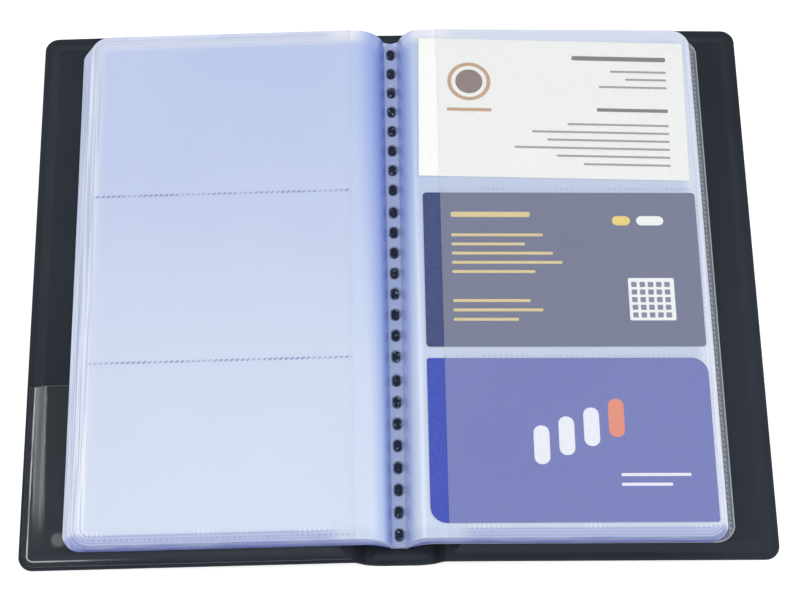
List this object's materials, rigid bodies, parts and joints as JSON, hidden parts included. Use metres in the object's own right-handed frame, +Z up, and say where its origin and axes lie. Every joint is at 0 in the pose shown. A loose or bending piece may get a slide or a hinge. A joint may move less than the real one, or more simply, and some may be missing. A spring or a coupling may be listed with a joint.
{
  "type": "business card album",
  "caption": "Open vinyl card album: welded black case with living hinges, clear film leaves with card pockets bound through the fold, and sample cards in one page.",
  "frame": {"origin": "centre of the spine's underside, on the surface that the open album lies on", "axes": "+X across the open album towards the back cover, +Y up the pages, +Z up from the table"},
  "size_m": [0.238, 0.1908, 0.0134],
  "materials": {
    "black_vinyl": "fine-grained soft PVC, semi-matt",
    "lining_vinyl": "fine-grained soft PVC, semi-matt",
    "greyboard": "plain greyboard",
    "page_film": "milky bluish soft film, many layers",
    "clear_film": "clear soft film, glossy",
    "card_cream": "smooth card",
    "card_navy": "smooth card",
    "card_blue": "smooth card"
  },
  "bodies": {
    "spine": {"spine_skin": "black_vinyl", "spine_board": "greyboard", "spine_lining": "lining_vinyl", "binding_strip": "black_vinyl", "bound_folds": "page_film", "front_hinge_web": "black_vinyl", "back_hinge_web": "black_vinyl", "left_margins": "page_film", "right_margins": "page_film", "turning_page_margin": "page_film"},
    "front_cover": {"front_cover_skin": "black_vinyl", "front_cover_board": "greyboard", "front_cover_lining": "lining_vinyl", "front_clear_pocket": "clear_film"},
    "back_cover": {"back_cover_skin": "black_vinyl", "back_cover_board": "greyboard", "back_cover_lining": "lining_vinyl"},
    "left_leaves": {"left_leaf_01": "page_film", "left_leaf_02": "page_film", "left_leaf_03": "page_film", "left_leaf_04": "page_film", "left_leaf_05": "page_film", "left_leaf_06": "page_film", "left_leaf_07": "page_film", "left_leaf_08": "page_film", "left_leaf_09": "page_film", "left_leaf_10": "page_film", "left_leaf_11": "page_film", "left_leaf_12": "page_film", "left_leaf_13": "page_film", "left_leaf_14": "page_film", "left_leaf_15": "page_film", "left_page_pockets": "clear_film"},
    "right_leaves": {"right_leaf_01": "page_film", "right_leaf_02": "page_film", "right_leaf_03": "page_film", "right_leaf_04": "page_film", "right_leaf_05": "page_film", "right_leaf_06": "page_film", "right_leaf_07": "page_film", "right_leaf_08": "page_film", "right_leaf_09": "page_film", "right_leaf_10": "page_film", "right_leaf_11": "page_film", "right_leaf_12": "page_film", "right_leaf_13": "page_film", "right_leaf_14": "page_film"},
    "turning_page": {"turning_page_film": "page_film", "turning_page_pockets": "clear_film"},
    "card_top": {"card_top": "card_cream"},
    "card_middle": {"card_middle": "card_navy"},
    "card_bottom": {"card_bottom": "card_blue"}
  },
  "joints": [
    {"name": "front_cover_turn", "type": "hinge", "parent": "spine", "child": "front_cover", "pos_m": [-0.0124, 0, 0.003], "axis": [0, -1, 0], "range_deg": [-92, 0], "deforming": ["front_hinge_web"]},
    {"name": "back_cover_turn", "type": "hinge", "parent": "spine", "child": "back_cover", "pos_m": [0.0124, 0, 0.003], "axis": [0, 1, 0], "range_deg": [-92, 0], "deforming": ["back_hinge_web"]},
    {"name": "left_leaves_turn", "type": "hinge", "parent": "spine", "child": "left_leaves", "pos_m": [-0.0052, 0, 0.0091], "axis": [0, -1, 0], "range_deg": [-92, 0], "deforming": ["left_margins"]},
    {"name": "right_leaves_turn", "type": "hinge", "parent": "spine", "child": "right_leaves", "pos_m": [0.0052, 0, 0.0091], "axis": [0, 1, 0], "range_deg": [-92, 0], "deforming": ["right_margins"]},
    {"name": "page_turn", "type": "hinge", "parent": "right_leaves", "child": "turning_page", "pos_m": [0.00515, 0, 0.01404], "axis": [0, -1, 0], "range_deg": [0, 184], "deforming": ["turning_page_margin"]},
    {"name": "card_top_slide", "type": "slide", "parent": "turning_page", "child": "card_top", "axis": [-0.9994, 0, 0.0349], "range_m": [0, 0.084]},
    {"name": "card_middle_slide", "type": "slide", "parent": "turning_page", "child": "card_middle", "axis": [-0.9994, 0, 0.0349], "range_m": [0, 0.084]},
    {"name": "card_bottom_slide", "type": "slide", "parent": "turning_page", "child": "card_bottom", "axis": [-0.9994, 0, 0.0349], "range_m": [0, 0.084]}
  ],
  "couplings": [
    {"joint": "left_leaves_turn", "follows": "front_cover_turn", "ratio": 1},
    {"joint": "right_leaves_turn", "follows": "back_cover_turn", "ratio": 1}
  ]
}
